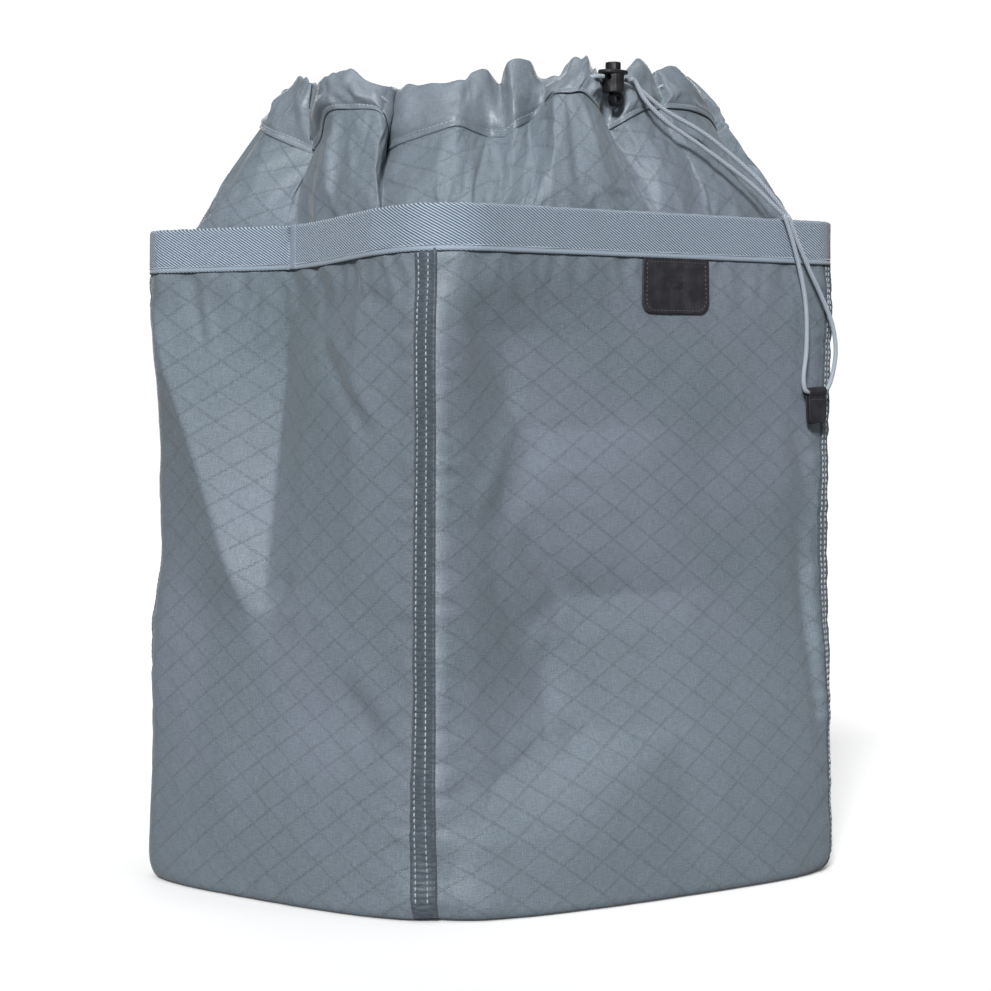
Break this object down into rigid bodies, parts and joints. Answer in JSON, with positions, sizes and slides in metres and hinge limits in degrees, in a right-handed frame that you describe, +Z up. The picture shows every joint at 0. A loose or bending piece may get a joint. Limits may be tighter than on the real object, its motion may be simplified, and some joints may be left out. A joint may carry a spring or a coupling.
{
  "type": "laundry bag",
  "caption": "Upright drawstring laundry bag with four fabric walls, a webbing rim, a gathered collar, a cord lock and a hanging cord loop with a pull tab.",
  "frame": {"origin": "centre of the base, on the floor", "axes": "+Z up, +X to the right along the front wall, -Y towards the front wall with the label and the cord lock"},
  "size_m": [0.323, 0.2752, 0.458],
  "materials": {
    "ripstop_nylon": "satin ripstop weave with a diagonal grid",
    "plain_nylon": "satin plain weave",
    "webbing": "diagonal twill tape",
    "felled_seam": "folded and stitched twice",
    "base_fabric": "coated dark fabric",
    "stiffener_board": "smooth board",
    "cord": "braided round cord",
    "black_plastic": "moulded, slightly glossy",
    "spring_steel": "bright wire",
    "dark_leather": "fine grain, matt"
  },
  "bodies": {
    "root": {"base_panel": "base_fabric", "base_board": "stiffener_board", "base_lining": "base_fabric", "base_seam_binding": "webbing", "wall_front": "ripstop_nylon", "wall_right": "ripstop_nylon", "wall_back": "ripstop_nylon", "wall_left": "ripstop_nylon", "seam_front_left": "felled_seam", "seam_front_right": "felled_seam", "seam_back_right": "felled_seam", "seam_back_left": "felled_seam"},
    "rim": {"rim_webbing": "webbing", "collar_front": "ripstop_nylon", "collar_back": "ripstop_nylon", "drawcord_casing": "plain_nylon", "drawcord": "cord", "label_patch": "dark_leather"},
    "cord_lock": {"cord_lock_body": "black_plastic", "cord_lock_spring": "spring_steel"},
    "lock_button": {"cord_lock_button": "black_plastic"},
    "cord_loop": {"drawcord_loop": "cord"},
    "pull_tab": {"pull_tab": "dark_leather"}
  },
  "joints": [
    {"name": "bag_collapse", "type": "slide", "parent": "root", "child": "rim", "axis": [0, 0, -1], "range_m": [0, 0.235], "deforming": ["wall_front", "wall_right", "wall_back", "wall_left", "seam_front_left", "seam_front_right", "seam_back_right", "seam_back_left"]},
    {"name": "cord_lock_slide", "type": "slide", "parent": "rim", "child": "cord_lock", "axis": [0.7869, -0.2099, -0.5802], "range_m": [0, 0.04], "deforming": ["drawcord"]},
    {"name": "lock_button_press", "type": "slide", "parent": "cord_lock", "child": "lock_button", "axis": [0, 0, -1], "range_m": [0, 0.0024], "stiffness_N_per_m": 300, "springref_m": -0.002, "deforming": ["cord_lock_spring"]},
    {"name": "cord_loop_swing", "type": "hinge", "parent": "rim", "child": "cord_loop", "pos_m": [0.0985, -0.1366, 0.3748], "axis": [-1, 0, 0], "range_deg": [0, 75]},
    {"name": "pull_tab_swivel", "type": "hinge", "parent": "cord_loop", "child": "pull_tab", "pos_m": [0.123, -0.1378, 0.275], "axis": [-1, 0, 0], "range_deg": [-8, 80]}
  ]
}
